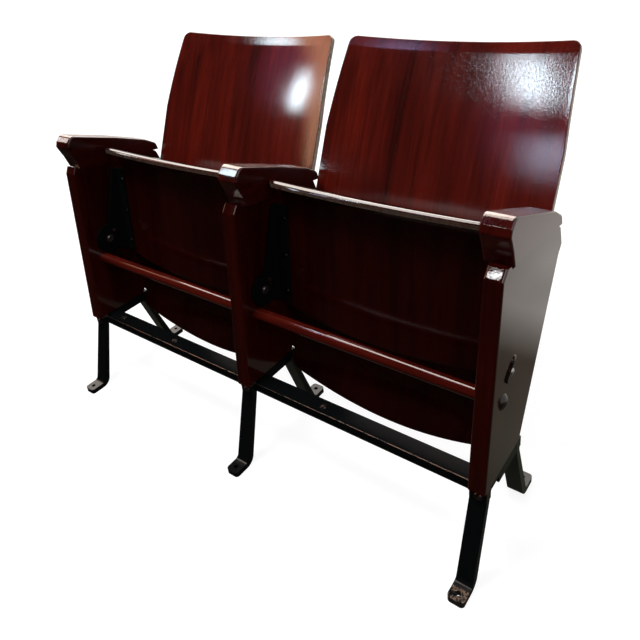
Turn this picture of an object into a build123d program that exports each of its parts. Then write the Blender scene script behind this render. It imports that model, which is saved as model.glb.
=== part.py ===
from build123d import *
import os
from math import asin, atan, cos, degrees, radians, sin, sqrt, tan

# Two tip-up auditorium seats on three wooden standards. Millimetres.
# +X runs to the viewer's right, the seats face -Y, +Z is up. The origin is the
# centre of the four corner floor-bolt holes, at floor level.

# ---------------------------------------------------------------- dimensions
LEAN = 7.0  # the standards lean back by this many degrees
BASE_Z = 183  # underside of the standards at their front edge
FRONT_Y = -77  # front edge of the standards at their foot

SIDE_T = 30  # standard: thickness
SIDE_DEPTH = 138  # standard: depth at its foot
SHOULDER_H = 9  # standard: height of its rounded shoulder under the armrest
SIDE_TOP_DEPTH = 244  # standard: depth just under the armrest
REAR_SLOPE = 0.332  # standard: how far its rear edge runs back for each mm up
REAR_RUN = 132  # standard: where its rear edge line meets the level of its foot
SIDE_ROUND = 5  # standard: rounding of the front edge

ARM_W = 47  # armrest: width
ARM_RISE = 76  # armrest: height of its nose above the standard
ARM_TIP = 39  # armrest: lower tip of its nose, behind the standard's front edge
ARM_REACH = {"left": 16, "middle": 9, "right": 0}  # armrest: further reach of its nose
ARM_NOTCH = 8  # notch between the standard's shoulder and the armrest's tip
ARM_ROUND = 4  # armrest: rounding of its edges
DOWEL_D = 10  # armrest dowel: diameter
DOWEL_L = 50  # armrest dowel: length
DOWEL_FRONT = 75  # front armrest dowel: distance behind the front edge
DOWEL_REAR = 175  # rear armrest dowel: distance behind the front edge

BAR_D = 23  # cross bar: diameter
BAR_U = 42  # cross bar: distance behind the front edge
BAR_V = 151  # cross bar: height along the front edge
BAR_BOLT_D = 8  # bolt into the end of a cross bar: diameter
BAR_BOLT_IN = 45  # bolt into the end of a cross bar: depth in the bar
BOLT_HEAD_D = 28  # domed bolt head: diameter
BOLT_HEAD_H = 7  # domed bolt head: height

PIVOT_U = 62  # seat pivot: distance behind the front edge
PIVOT_V = 195  # seat pivot: height along the front edge
PIN_D = 12  # pivot pin: diameter
PIN_FIT = 0.05  # pivot pin: radial running clearance in the hinge arm
BUSH_D = 16  # pivot bush: outer diameter
WASHER_D = 30  # thrust washer: diameter
WASHER_T = 2.4  # thrust washer: thickness
SIDE_PLAY = 0.1  # play between thrust washer and hinge arm
RING_D = 19  # retaining ring: diameter
RING_T = 1.5  # retaining ring: thickness
PIN_HEAD_D = 13  # domed end of the pivot pin outside the pivot plate
PIN_HEAD_H = 2.5
SWING = 88  # seat travel from folded up to down, degrees
STUD_D = 8  # stop stud: diameter
STUD_R = 22.2  # stop stud: distance from the pivot
STUD_ANGLE = 54.2  # stop stud: direction from the pivot, degrees above the back
STUD_PLAY = 0.3  # stop stud: radial clearance in the arc slot
PLATE_T = 3  # pivot plate: thickness
PLATE_L = 37  # pivot plate: length
PLATE_W = 15  # pivot plate: width

HINGE_T = 4  # hinge arm: steel thickness
HUB_R = 34  # hinge arm: radius of its round end
FLANGE_REACH = 48  # hinge arm: reach of its flange from the standard's centre
FLANGE_LOW = 155  # hinge arm: lower end of the flange
FLANGE_ROOM = 15  # hinge arm: upper end of the flange below the roll of the board
SCREW_D = 5  # wood screw: shank diameter
SCREW_HEAD_D = 10  # wood screw: head diameter
SCREW_HEAD_H = 2.4  # wood screw: head height
SCREW_BITE = 9  # wood screw: depth in the wood

PLY = 12  # thickness of seat boards and backrests
SEAT_GAP = 33  # seat board: side edge from the standard's centre
SEAT_BACK_U = 123  # seat board: upper surface at its side edges when folded
SEAT_LOW_V = 148  # seat board: rear edge at the sides
SEAT_BULGE = 20  # seat board: how much further its rear edge reaches at mid width
SEAT_CREST_V = 413  # seat board: crest of the rolled front lip
SEAT_RISE = 38  # seat board: its crest above the level that carries the armrests
SEAT_ROLL_R = 40  # seat board: outer radius of the rolled front lip
SEAT_LIP = 6  # seat board: straight end of the lip past the roll
SEAT_DISH = 10  # seat board: hollow at mid width
SEAT_CORNER = 9  # seat board: rounding of its corners

BACK_R = 800  # backrest: radius of its hollow, seen from above
BACK_HALF = 241  # backrest: half width of the lower part
BACK_EDGE = 9  # backrest: side edge from the standards' centre
BACK_TAPER = 14  # backrest: how much each side draws in towards its top
BACK_STRAIGHT = 500  # backrest: length of its straight run above the foot level
BACK_ARC_R = 1500  # backrest: radius of its backward curve at the top
BACK_ARC = 7.2  # backrest: turn of the backward curve, degrees
BACK_DROP = 60  # backrest: lower edge at mid width, below the foot level
BACK_SIDE_DROP = 13  # backrest: lower edge at the sides, below the foot level
BACK_CORNER = 15  # backrest: rounding of its corners
BACK_FOOT_GAP = 4  # backrest: clearance beside the legs, below the standards
BACK_STEP = 6  # backrest: narrow part above the level of the standards' foot
BACK_FLARE = 20  # backrest: height over which it widens again
BACK_GAP = 0.3  # backrest: clearance behind the standards' rear edges

CLIP_H = 70  # backrest bracket: height
CLIP_T = 3  # backrest bracket: thickness
CLIP_LEG = 38  # backrest bracket: length of each leg
CLIP_LOW = 115  # backrest bracket: lower pair, above the foot level
CLIP_HIGH = 250  # backrest bracket: upper pair, above the foot level

SHOE_T = 5  # base bracket: plate thickness
SHOE_REAR = 72  # base bracket: rear end
SHOE_SIDE_H = 18  # base bracket: depth of its turned-down side
SHOE_SIDE_T = 4  # base bracket: thickness of its turned-down sides
RAIL_W = 35  # front rail: width of its top
RAIL_H = 20  # front rail: height of its front
RAIL_T = 4  # front rail: thickness
RAIL_FRONT = -56  # front rail: front face
RAIL_END = 15  # front rail: length past the end standards' centres
RAIL_BOLTS = (-0.88, -0.5, 0.35)  # round heads on the rail, in pitches from the middle

LEG_W = 30  # leg: width of the flat bar
LEG_T = 12  # leg: thickness of the flat bar
LEG_TAB = 22  # leg: length of its upright top
ANKLE_Y = 110  # leg: centre of the bar where it turns out, from the middle
TOE_Y = 152  # leg: tip of its foot, from the middle
FOOT_BOLT_Y = 138  # foot hole, from the middle
FOOT_HOLE_D = 9  # foot hole: diameter
LEG_BOLT_D = 8  # bolt through a leg's top: diameter
LEG_BOLT_HEAD = 15  # bolt through a leg's top: head diameter
LEG_BOLT_HEAD_H = 5  # bolt through a leg's top: head height
NUT_D = 12  # nut: across corners
NUT_H = 5  # nut: height

# ------------------------------------------------------------ derived values
PITCH = 2 * (BACK_HALF + BACK_EDGE)
SIDE_TOP = SEAT_CREST_V - SEAT_RISE
SIDE_FRONT_H = SIDE_TOP - SHOULDER_H
FLANGE_HIGH = SEAT_CREST_V - SEAT_ROLL_R - FLANGE_ROOM
back_top_half = BACK_HALF - BACK_TAPER
rail_bolt_xs = [PITCH * share for share in RAIL_BOLTS]
dowel_spots = ((DOWEL_FRONT, 0), (DOWEL_REAR, 0))
SIDES = {"left": -PITCH, "middle": 0, "right": PITCH}
BAYS = {"left": -PITCH / 2, "right": PITCH / 2}
lean_sin = sin(radians(LEAN))
lean_cos = cos(radians(LEAN))
face = SIDE_T / 2
arm_top = SIDE_TOP + ARM_RISE
foot_rise = tan(radians(LEAN))
web_in = face + WASHER_T + SIDE_PLAY
web_out = web_in + HINGE_T
bay_half = PITCH / 2 - SEAT_GAP
seat_under = SEAT_BACK_U - PLY
stud_u = PIVOT_U + STUD_R * cos(radians(STUD_ANGLE))
stud_v = PIVOT_V + STUD_R * sin(radians(STUD_ANGLE))
shoe_z = BASE_Z - SHOE_T
bolt_z = shoe_z - LEG_TAB * 0.55


def side_plane(x):
    """The leaning plane square to X: local x runs back, local y up the front."""
    return Plane(
        origin=(x, FRONT_Y, BASE_Z),
        x_dir=(0, lean_cos, -lean_sin),
        z_dir=(1, 0, 0),
    )


def lean_point(x, u, v):
    """A point u behind and v up the front edge of the standards."""
    return (
        x,
        FRONT_Y + u * lean_cos + v * lean_sin,
        BASE_Z - u * lean_sin + v * lean_cos,
    )


def rear_u(v):
    """Rear edge of the standards at height v."""
    return REAR_RUN + REAR_SLOPE * v


# ----------------------------------------------------------------- standards
# The foot is level, so it climbs in the leaning plane. Holes take the pivot
# bushes, the stop studs, the cross bar bolts, dowels and bracket screws.
def make_standard(name, x):
    shoulder = ARM_TIP - ARM_REACH[name] - ARM_NOTCH
    with BuildPart() as standard:
        with BuildSketch(side_plane(x - face)):
            with BuildLine():
                FilletPolyline(
                    (0, 0),
                    (0, SIDE_FRONT_H),
                    (shoulder * 0.4, SIDE_TOP + 6),
                    (shoulder - 4, SIDE_TOP + 5),
                    (shoulder, SIDE_TOP),
                    (SIDE_TOP_DEPTH - 12, SIDE_TOP),
                    (SIDE_TOP_DEPTH + 6, SIDE_TOP - 37),
                    (rear_u(SIDE_TOP - 52), SIDE_TOP - 52),
                    (SIDE_DEPTH, SIDE_DEPTH * foot_rise),
                    radius=[0, 7, 0, 1, 0, 14, 5, 8, 4],
                    close=True,
                )
            make_face()
        extrude(amount=SIDE_T)
        front = standard.edges().filter_by(
            Axis((0, 0, 0), (0, lean_sin, lean_cos))
        )
        fillet(front.sort_by(Axis.Y)[0:2], radius=SIDE_ROUND)
        with BuildSketch(side_plane(x - face)):
            with Locations((PIVOT_U, PIVOT_V)):
                Circle(BUSH_D / 2)
            with Locations((stud_u, stud_v)):
                Circle(STUD_D / 2)
            with Locations((BAR_U, BAR_V)):
                Circle(BAR_BOLT_D / 2)
        extrude(amount=SIDE_T, mode=Mode.SUBTRACT)
        with BuildSketch(top_plane(x)):
            with Locations(*dowel_spots):
                Circle(DOWEL_D / 2)
        extrude(amount=-DOWEL_L / 2, mode=Mode.SUBTRACT)
        for y in shoe_screw_ys:
            upright(x, y, BASE_Z, SCREW_D / 2, 2 * SCREW_BITE, Mode.SUBTRACT)
        for way in seat_ways(name):
            bay = x + way * PITCH / 2
            for side, up, out in clip_spots:
                if out == 1 and side == -way:
                    drill(clip_plane(bay, side, up, out), CLIP_T + SCREW_BITE)
            rebate = BACK_HALF - PITCH / 2 + face + 0.5
            with BuildSketch(side_plane(x + way * face)):
                with BuildLine():
                    Polyline(
                        (rear_u(SIDE_TOP - 70), SIDE_TOP - 70),
                        (rear_u(SIDE_TOP + 5), SIDE_TOP + 5),
                        (rear_u(SIDE_TOP + 5) + 40, SIDE_TOP + 5),
                        (rear_u(SIDE_TOP - 70) + 40, SIDE_TOP - 70),
                        close=True,
                    )
                make_face()
            extrude(amount=-way * rebate, mode=Mode.SUBTRACT)
    return standard


def top_plane(x):
    """The plane between a standard and its armrest, local x running back."""
    return Plane(
        origin=lean_point(x, 0, SIDE_TOP),
        x_dir=(0, lean_cos, -lean_sin),
        z_dir=(0, lean_sin, lean_cos),
    )


# ----------------------------------------------------------------- armrests
# The end blocks are flush with the right face of their standard and overhang
# to the left; the middle one is centred.
def arm_middle_x(x):
    if x == 0:
        return 0
    return x + face - ARM_W / 2


def make_armrest(name, x):
    nose = ARM_TIP - ARM_REACH[name]
    with BuildPart() as armrest:
        with BuildSketch(side_plane(arm_middle_x(x) - ARM_W / 2)):
            with BuildLine():
                FilletPolyline(
                    (nose, SIDE_TOP),
                    (nose - 11, SIDE_TOP + 25),
                    (nose - 25, arm_top - 26),
                    (nose - 22, arm_top - 14),
                    (nose - 10, arm_top),
                    (121, arm_top - 23),
                    (208, arm_top - 46),
                    (SIDE_TOP_DEPTH - 6, arm_top - 60),
                    (SIDE_TOP_DEPTH, SIDE_TOP),
                    radius=[0, 20, 6, 6, 12, 0, 20, 14, 0],
                    close=True,
                )
            make_face()
        extrude(amount=ARM_W)
        ends = armrest.faces().filter_by(Axis.X)
        upper = ends.edges().filter_by_position(
            Axis.Z, lean_point(0, 0, SIDE_TOP)[2] + 1, 2000, inclusive=(True, True)
        )
        fillet(upper, radius=ARM_ROUND)
        with BuildSketch(top_plane(x)):
            with Locations(*dowel_spots):
                Circle(DOWEL_D / 2)
        extrude(amount=DOWEL_L / 2, mode=Mode.SUBTRACT)
    return armrest


def write(piece, name):
    """Label a finished piece and write it to its own file."""
    piece.part.label = name
    export_step(piece.part, "parts/" + name + ".step")


os.makedirs("parts", exist_ok=True)
with BuildPart() as armrest_dowels:
    for x in SIDES.values():
        with BuildSketch(top_plane(x).offset(-DOWEL_L / 2)):
            with Locations(*dowel_spots):
                Circle(DOWEL_D / 2)
        extrude(amount=DOWEL_L)
write(armrest_dowels, "armrest_dowels")


# ---------------------------------------------------------------- cross bars
def make_bar(x):
    """A round bar from one standard to the next, drilled for its end bolts."""
    with BuildPart() as bar:
        with BuildSketch(side_plane(x - PITCH / 2 + face)):
            with Locations((BAR_U, BAR_V)):
                Circle(BAR_D / 2)
        extrude(amount=PITCH - SIDE_T)
        for start, way in ((x - PITCH / 2 + face, 1), (x + PITCH / 2 - face, -1)):
            with BuildSketch(side_plane(start)):
                with Locations((BAR_U, BAR_V)):
                    Circle(BAR_BOLT_D / 2)
            extrude(amount=way * BAR_BOLT_IN, mode=Mode.SUBTRACT)
    return bar


for name, x in BAYS.items():
    write(make_bar(x), "cross_bar_" + name)


def dome_head(plane, radius, height):
    """A domed head whose flat lies on the plane's local x axis, crown along y."""
    ball = (radius * radius + height * height) / (2 * height)
    half = asin(radius / ball) / 2
    middle = (ball * sin(half), height - ball + ball * cos(half))
    with BuildSketch(plane) as half_section:
        with BuildLine():
            Line((0, 0), (radius, 0))
            ThreePointArc((radius, 0), middle, (0, height))
            Line((0, height), (0, 0))
        make_face()
    revolve(half_section.sketch, axis=Axis(plane.origin, plane.y_dir))


def axis_plane(x, u, v, way):
    """A plane whose local y runs along +X or -X from a point of the side plane."""
    return Plane(
        origin=lean_point(x, u, v),
        x_dir=(0, lean_cos, -lean_sin),
        z_dir=(0, -way * lean_sin, -way * lean_cos),
    )


with BuildPart() as bar_bolts:
    for x, way in ((-PITCH - face, -1), (PITCH + face, 1)):
        seat = axis_plane(x, BAR_U, BAR_V, way)
        dome_head(seat, BOLT_HEAD_D / 2, BOLT_HEAD_H)
        with BuildSketch(side_plane(x)):
            with Locations((BAR_U, BAR_V)):
                Circle(BAR_BOLT_D / 2)
        extrude(amount=-way * (SIDE_T + BAR_BOLT_IN))
write(bar_bolts, "bar_bolts")

with BuildPart() as bar_stud:
    with BuildSketch(side_plane(-face - BAR_BOLT_IN)):
        with Locations((BAR_U, BAR_V)):
            Circle(BAR_BOLT_D / 2)
    extrude(amount=SIDE_T + 2 * BAR_BOLT_IN)
write(bar_stud, "bar_stud")


# --------------------------------------------------------------------- pivots
# Each standard has one pin. It turns in a bush, carries a thrust washer, the
# hub of the hinge arm and a retaining ring on every side that has a seat.
def seat_ways(name):
    return {"left": (1,), "middle": (-1, 1), "right": (-1,)}[name]


pin_end = web_out + SIDE_PLAY + RING_T + 2
ring_in = web_out + SIDE_PLAY


def disc(x, length, outer, inner, u=PIVOT_U, v=PIVOT_V):
    """A round piece along X at the pivot, solid when the inner radius is 0."""
    with BuildSketch(side_plane(x)) as section:
        with Locations((u, v)):
            Circle(outer)
            if inner > 0:
                Circle(inner, mode=Mode.SUBTRACT)
    extrude(section.sketch, amount=length)


def pin_head_x(name, x):
    """Where the headed end of an end standard's pin meets its pivot plate."""
    return x - (face + PLATE_T) * seat_ways(name)[0]


for name, x in SIDES.items():
    with BuildPart() as pin:
        if name == "middle":
            disc(-pin_end, 2 * pin_end, PIN_D / 2, 0)
        else:
            way = seat_ways(name)[0]
            disc(pin_head_x(name, x), way * (face + PLATE_T + pin_end), PIN_D / 2, 0)
            seat = axis_plane(pin_head_x(name, x), PIVOT_U, PIVOT_V, -way)
            dome_head(seat, PIN_HEAD_D / 2, PIN_HEAD_H)
    write(pin, "hinge_pin_" + name)

with BuildPart() as pivot_bushes:
    for x in SIDES.values():
        disc(x - face, SIDE_T, BUSH_D / 2, PIN_D / 2)
write(pivot_bushes, "pivot_bushes")

with BuildPart() as thrust_washers:
    for name, x in SIDES.items():
        for way in seat_ways(name):
            disc(x + way * face, way * WASHER_T, WASHER_D / 2, PIN_D / 2)
write(thrust_washers, "thrust_washers")

with BuildPart() as retaining_rings:
    for name, x in SIDES.items():
        for way in seat_ways(name):
            disc(x + way * ring_in, way * RING_T, RING_D / 2, PIN_D / 2)
write(retaining_rings, "retaining_rings")

with BuildPart() as stop_studs:
    for name, x in SIDES.items():
        if name == "middle":
            disc(-pin_end, 2 * pin_end, STUD_D / 2, 0, stud_u, stud_v)
        else:
            way = seat_ways(name)[0]
            start = x - way * (face + 1.5)
            disc(start, way * (face + 1.5 + pin_end), STUD_D / 2, 0, stud_u, stud_v)
write(stop_studs, "stop_studs")

plate_mid_u = PIVOT_U
plate_mid_v = PIVOT_V - 1
with BuildPart() as pivot_plates:
    for name, x in SIDES.items():
        if name != "middle":
            out = -seat_ways(name)[0]
            with BuildSketch(side_plane(x + out * face)):
                with Locations(Location((plate_mid_u, plate_mid_v, 0), (0, 0, 44))):
                    SlotOverall(PLATE_L, PLATE_W)
                with Locations((PIVOT_U, PIVOT_V)):
                    Circle(PIN_D / 2, mode=Mode.SUBTRACT)
            extrude(amount=out * PLATE_T)
write(pivot_plates, "pivot_plates")


# ---------------------------------------------------------------- hinge arms
# The web carries the hub with its running bore and the arc slot that the stop
# stud limits. The flange lies along the underside of the dished seat board.
dish_r = (bay_half**2 + SEAT_DISH**2) / (2 * SEAT_DISH)


def dish(lateral):
    """How far the board's underside bulges at a distance from mid bay."""
    return sqrt(dish_r**2 - lateral**2) - sqrt(dish_r**2 - bay_half**2)


flange_end = PITCH / 2 - FLANGE_REACH
flange_in = PITCH / 2 - web_in
flange_slope = dish(flange_end) / (bay_half - flange_end)
flange_fit = 0.03
screw_lateral = (flange_end + bay_half) / 2


def flange_face(lateral):
    """Upper face of the flange, along a chord of the board's underside."""
    return seat_under - flange_fit - flange_slope * (bay_half - lateral)


def cross_plane(x, v):
    """A plane square to the front edge: local x along +X, local y running back."""
    return Plane(
        origin=lean_point(x, 0, v),
        x_dir=(1, 0, 0),
        z_dir=(0, lean_sin, lean_cos),
    )


def flange_plane(x, way, v):
    """On the flange's front face at a screw, normal into the board."""
    u = flange_face(screw_lateral) - HINGE_T
    return Plane(
        origin=lean_point(x + way * (PITCH / 2 - screw_lateral), u, v),
        x_dir=(0, lean_sin, lean_cos),
        z_dir=(way * flange_slope, lean_cos, -lean_sin),
    )


def make_arm(x, way):
    """A hinge arm beside the standard at x, on the side that way points to."""
    near = -way * flange_in
    far = -way * flange_end
    slot_line = CenterArc((PIVOT_U, PIVOT_V), STUD_R, STUD_ANGLE - SWING, SWING)
    with BuildPart() as arm:
        with BuildSketch(side_plane(x + way * web_in)):
            with BuildLine():
                FilletPolyline(
                    (PIVOT_U + 2, PIVOT_V + HUB_R - 6),
                    (seat_under - 14, FLANGE_HIGH),
                    (flange_face(flange_in) - 1, FLANGE_HIGH),
                    (flange_face(flange_in) - 1, FLANGE_LOW),
                    (seat_under - 12, FLANGE_LOW),
                    (PIVOT_U + 16, PIVOT_V - HUB_R + 8),
                    (PIVOT_U, PIVOT_V),
                    radius=[0, 3, 0, 0, 6, 0, 0],
                    close=True,
                )
            make_face()
            with Locations((PIVOT_U, PIVOT_V)):
                Circle(HUB_R)
        extrude(amount=way * HINGE_T)
        with BuildSketch(cross_plane(x + way * PITCH / 2, FLANGE_LOW)):
            with BuildLine():
                Polyline(
                    (near, flange_face(flange_in)),
                    (far, flange_face(flange_end)),
                    (far, flange_face(flange_end) - HINGE_T),
                    (near, flange_face(flange_in) - HINGE_T),
                    close=True,
                )
            make_face()
        extrude(amount=FLANGE_HIGH - FLANGE_LOW)
        with BuildSketch(side_plane(x + way * web_in)):
            with Locations((PIVOT_U, PIVOT_V)):
                Circle(PIN_D / 2 + PIN_FIT)
            SlotArc(slot_line, STUD_D + 2 * STUD_PLAY)
        extrude(amount=way * HINGE_T, mode=Mode.SUBTRACT)
        for v in screw_vs:
            with BuildSketch(flange_plane(x, way, v)):
                Circle(SCREW_D / 2)
            extrude(amount=HINGE_T * 2, both=True, mode=Mode.SUBTRACT)
    return arm


screw_vs = (FLANGE_LOW + 25, (FLANGE_LOW + FLANGE_HIGH) / 2, FLANGE_HIGH - 25)
for name, x in BAYS.items():
    for end, way in (("left", 1), ("right", -1)):
        arm = make_arm(x - way * PITCH / 2, way)
        write(arm, name + "_seat_arm_" + end)
    with BuildPart() as arm_screws:
        for way in (1, -1):
            for v in screw_vs:
                with BuildSketch(flange_plane(x - way * PITCH / 2, way, v)):
                    Circle(SCREW_D / 2)
                extrude(amount=HINGE_T + SCREW_BITE)
                with BuildSketch(flange_plane(x - way * PITCH / 2, way, v)):
                    Circle(SCREW_HEAD_D / 2)
                extrude(amount=-SCREW_HEAD_H, taper=25)
    write(arm_screws, name + "_seat_screws")


# --------------------------------------------------------------- seat boards
# Moulded ply, folded up: hollow across, its front edge rolled over.
def make_seat_board(x):
    low = SEAT_LOW_V - SEAT_BULGE
    axis_u = seat_under - SEAT_DISH + dish_r
    lip_u = SEAT_BACK_U - SEAT_ROLL_R - SEAT_LIP
    spread = degrees(asin((bay_half + PLY) / dish_r))
    turn_axis = Axis(lean_point(x, axis_u, 0), (0, lean_sin, lean_cos))
    with BuildPart() as board:
        for way in (1, -1):
            with BuildSketch(side_plane(x)):
                with BuildLine():
                    FilletPolyline(
                        (seat_under - SEAT_DISH, low),
                        (seat_under - SEAT_DISH, SEAT_CREST_V - PLY),
                        (lip_u - SEAT_DISH, SEAT_CREST_V - PLY),
                        (lip_u - SEAT_DISH, SEAT_CREST_V),
                        (SEAT_BACK_U - SEAT_DISH, SEAT_CREST_V),
                        (SEAT_BACK_U - SEAT_DISH, low),
                        radius=[2, SEAT_ROLL_R - PLY, 3, 3, SEAT_ROLL_R, 2],
                        close=True,
                    )
                make_face()
            revolve(axis=turn_axis, revolution_arc=way * spread)
        with BuildSketch(front_plane(x, 0)):
            with BuildLine():
                Line((-bay_half, SEAT_LOW_V), (-bay_half, SEAT_CREST_V + 5))
                Line((-bay_half, SEAT_CREST_V + 5), (bay_half, SEAT_CREST_V + 5))
                Line((bay_half, SEAT_CREST_V + 5), (bay_half, SEAT_LOW_V))
                ThreePointArc((bay_half, SEAT_LOW_V), (0, low), (-bay_half, SEAT_LOW_V))
            face_outline = make_face()
            lower = face_outline.vertices().sort_by(Axis.Z)[0:2]
            fillet(lower, radius=SEAT_CORNER)
        extrude(amount=3 * SEAT_BACK_U, mode=Mode.INTERSECT)
        with BuildSketch(cross_plane(x, low - 5)):
            with BuildLine():
                FilletPolyline(
                    (-bay_half, lip_u),
                    (bay_half, lip_u),
                    (bay_half, SEAT_BACK_U + 5),
                    (-bay_half, SEAT_BACK_U + 5),
                    radius=[SEAT_CORNER, SEAT_CORNER, 0, 0],
                    close=True,
                )
            make_face()
            with BuildLine():
                Polyline(
                    (-bay_half + 20, lip_u - SEAT_DISH - 1),
                    (bay_half - 20, lip_u - SEAT_DISH - 1),
                    (bay_half - 20, SEAT_BACK_U),
                    (-bay_half + 20, SEAT_BACK_U),
                    close=True,
                )
            make_face()
        extrude(amount=SEAT_CREST_V - low + 10, mode=Mode.INTERSECT)
        for way in (1, -1):
            for v in screw_vs:
                with BuildSketch(flange_plane(x - way * PITCH / 2, way, v)):
                    Circle(SCREW_D / 2)
                extrude(amount=HINGE_T + SCREW_BITE, mode=Mode.SUBTRACT)
    return board


def front_plane(x, u):
    """A plane seen from the front: local x along -X, local y up, normal back."""
    return Plane(
        origin=lean_point(x, u, 0),
        x_dir=(-1, 0, 0),
        z_dir=(0, lean_cos, -lean_sin),
    )


for name, x in BAYS.items():
    write(make_seat_board(x), name + "_seat_board")


# ----------------------------------------------------------------- backrests
# Moulded ply: a straight run along the standards' rear edges, then a gentle
# backward curve; hollow across about an axis in front of the sitter.
run = atan(REAR_SLOPE) + radians(LEAN)
run_back = (0, cos(run), -sin(run))
run_up = (0, sin(run), cos(run))
back_sag = BACK_R - sqrt(BACK_R**2 - BACK_HALF**2)


def run_point(x, back, up):
    """A point of the backrest's frame: back from and up along the rear edges."""
    base = lean_point(x, REAR_RUN, 0)
    gap = back + BACK_GAP
    return (
        x,
        base[1] + gap * run_back[1] + up * run_up[1],
        base[2] + gap * run_back[2] + up * run_up[2],
    )


def back_face(lateral):
    """Front surface of the backrest behind the line of the rear edges."""
    return back_sag - BACK_R + sqrt(BACK_R**2 - lateral**2)


def clip_plane(x, way, up, out):
    """At a bracket's screw. Out 1 faces the standard, out 0 the backrest."""
    if out == 1:
        origin = run_point(x + way * (PITCH / 2 - face - CLIP_T), -CLIP_LEG * 0.6, up)
        return Plane(origin=origin, x_dir=run_up, z_dir=(way, 0, 0))
    lateral = clip_edge - CLIP_LEG * 0.6
    chord = back_face(clip_edge) + clip_slope * CLIP_LEG * 0.6 - clip_fit
    origin = run_point(x + way * lateral, chord - CLIP_T, up)
    return Plane(
        origin=origin,
        x_dir=run_up,
        z_dir=(way * clip_slope, run_back[1], run_back[2]),
    )


clip_edge = PITCH / 2 - face
clip_fit = 0.03
clip_slope = (back_face(clip_edge - CLIP_LEG) - back_face(clip_edge)) / CLIP_LEG
clip_spots = [
    (way, low + rise, out)
    for way in (-1, 1)
    for low in (CLIP_LOW, CLIP_HIGH)
    for rise in (CLIP_H * 0.25, CLIP_H * 0.75)
    for out in (0, 1)
]


def drill(plane, length):
    """A screw hole from a plane."""
    with BuildSketch(plane) as hole:
        Circle(SCREW_D / 2)
    extrude(hole.sketch, amount=length, mode=Mode.SUBTRACT)


def make_backrest(x):
    turn = radians(BACK_ARC)
    foot_up = REAR_RUN * lean_sin / cos(run)
    foot_half = PITCH / 2 - face - BACK_FOOT_GAP
    centre = (back_sag + BACK_ARC_R, BACK_STRAIGHT)
    top_front = (centre[0] - BACK_ARC_R * cos(turn), centre[1] + BACK_ARC_R * sin(turn))
    inner = BACK_ARC_R - PLY
    top_rear = (centre[0] - inner * cos(turn), centre[1] + inner * sin(turn))
    profile_plane = Plane(
        origin=run_point(x, 0, 0), x_dir=run_back, z_dir=(1, 0, 0)
    )
    turn_axis = Axis(run_point(x, back_sag - BACK_R, 0), run_up)
    spread = degrees(asin((BACK_HALF + 10) / BACK_R))
    with BuildPart() as backrest:
        for way in (1, -1):
            with BuildSketch(profile_plane):
                with BuildLine():
                    Line((back_sag, -BACK_DROP), (back_sag, BACK_STRAIGHT))
                    CenterArc(centre, BACK_ARC_R, 180, -BACK_ARC)
                    Line(top_front, top_rear)
                    CenterArc(centre, inner, 180 - BACK_ARC, BACK_ARC)
                    Line((back_sag + PLY, BACK_STRAIGHT), (back_sag + PLY, -BACK_DROP))
                    Line((back_sag + PLY, -BACK_DROP), (back_sag, -BACK_DROP))
                make_face()
            revolve(axis=turn_axis, revolution_arc=way * spread)
        outline_plane = Plane(
            origin=run_point(x, -50, 0), x_dir=(-1, 0, 0), z_dir=run_back
        )
        with BuildSketch(outline_plane):
            with BuildLine():
                ThreePointArc(
                    (-foot_half, -BACK_SIDE_DROP),
                    (0, -BACK_DROP),
                    (foot_half, -BACK_SIDE_DROP),
                )
                Polyline(
                    (foot_half, -BACK_SIDE_DROP),
                    (foot_half, foot_up + BACK_STEP),
                    (BACK_HALF, foot_up + BACK_STEP + BACK_FLARE),
                    (BACK_HALF, BACK_STRAIGHT),
                    (back_top_half, top_rear[1]),
                    (-back_top_half, top_rear[1]),
                    (-BACK_HALF, BACK_STRAIGHT),
                    (-BACK_HALF, foot_up + BACK_STEP + BACK_FLARE),
                    (-foot_half, foot_up + BACK_STEP),
                    (-foot_half, -BACK_SIDE_DROP),
                )
            outline = make_face()
            ends = outline.vertices().group_by(Axis.Z)
            fillet(ends[0] + ends[-1], radius=BACK_CORNER)
        extrude(amount=200, mode=Mode.INTERSECT)
        for way, up, out in clip_spots:
            if out == 0:
                drill(clip_plane(x, way, up, out), CLIP_T + SCREW_BITE)
    return backrest


for name, x in BAYS.items():
    write(make_backrest(x), "backrest_" + name)


def make_clips(x):
    """The four angle brackets between a backrest and its standards."""
    with BuildPart() as clips:
        for way in (-1, 1):
            outer = way * clip_edge
            inner = way * (clip_edge - CLIP_LEG)
            edge = way * (clip_edge - CLIP_T)
            for low in (CLIP_LOW, CLIP_HIGH):
                section = Plane(
                    origin=run_point(x, 0, low), x_dir=(1, 0, 0), z_dir=run_up
                )
                with BuildSketch(section):
                    with BuildLine():
                        Polyline(
                            (outer, back_face(clip_edge) - clip_fit),
                            (inner, back_face(clip_edge - CLIP_LEG) - clip_fit),
                            (inner, back_face(clip_edge - CLIP_LEG) - CLIP_T - clip_fit),
                            (edge, back_face(clip_edge) + (clip_slope - 1) * CLIP_T - clip_fit),
                            (edge, -CLIP_LEG),
                            (outer, -CLIP_LEG),
                            close=True,
                        )
                    make_face()
                extrude(amount=CLIP_H)
        for way, up, out in clip_spots:
            with BuildSketch(clip_plane(x, way, up, out)):
                Circle(SCREW_D / 2)
            extrude(amount=2 * CLIP_T, both=True, mode=Mode.SUBTRACT)
    return clips


for name, x in BAYS.items():
    write(make_clips(x), "back_brackets_" + name)
    with BuildPart() as clip_screws:
        for way, up, out in clip_spots:
            spot = clip_plane(x, way, up, out)
            with BuildSketch(spot):
                Circle(SCREW_D / 2)
            extrude(amount=CLIP_T + SCREW_BITE)
            with BuildSketch(spot):
                Circle(SCREW_HEAD_D / 2)
            extrude(amount=-SCREW_HEAD_H, taper=25)
    write(clip_screws, "back_screws_" + name)


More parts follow.
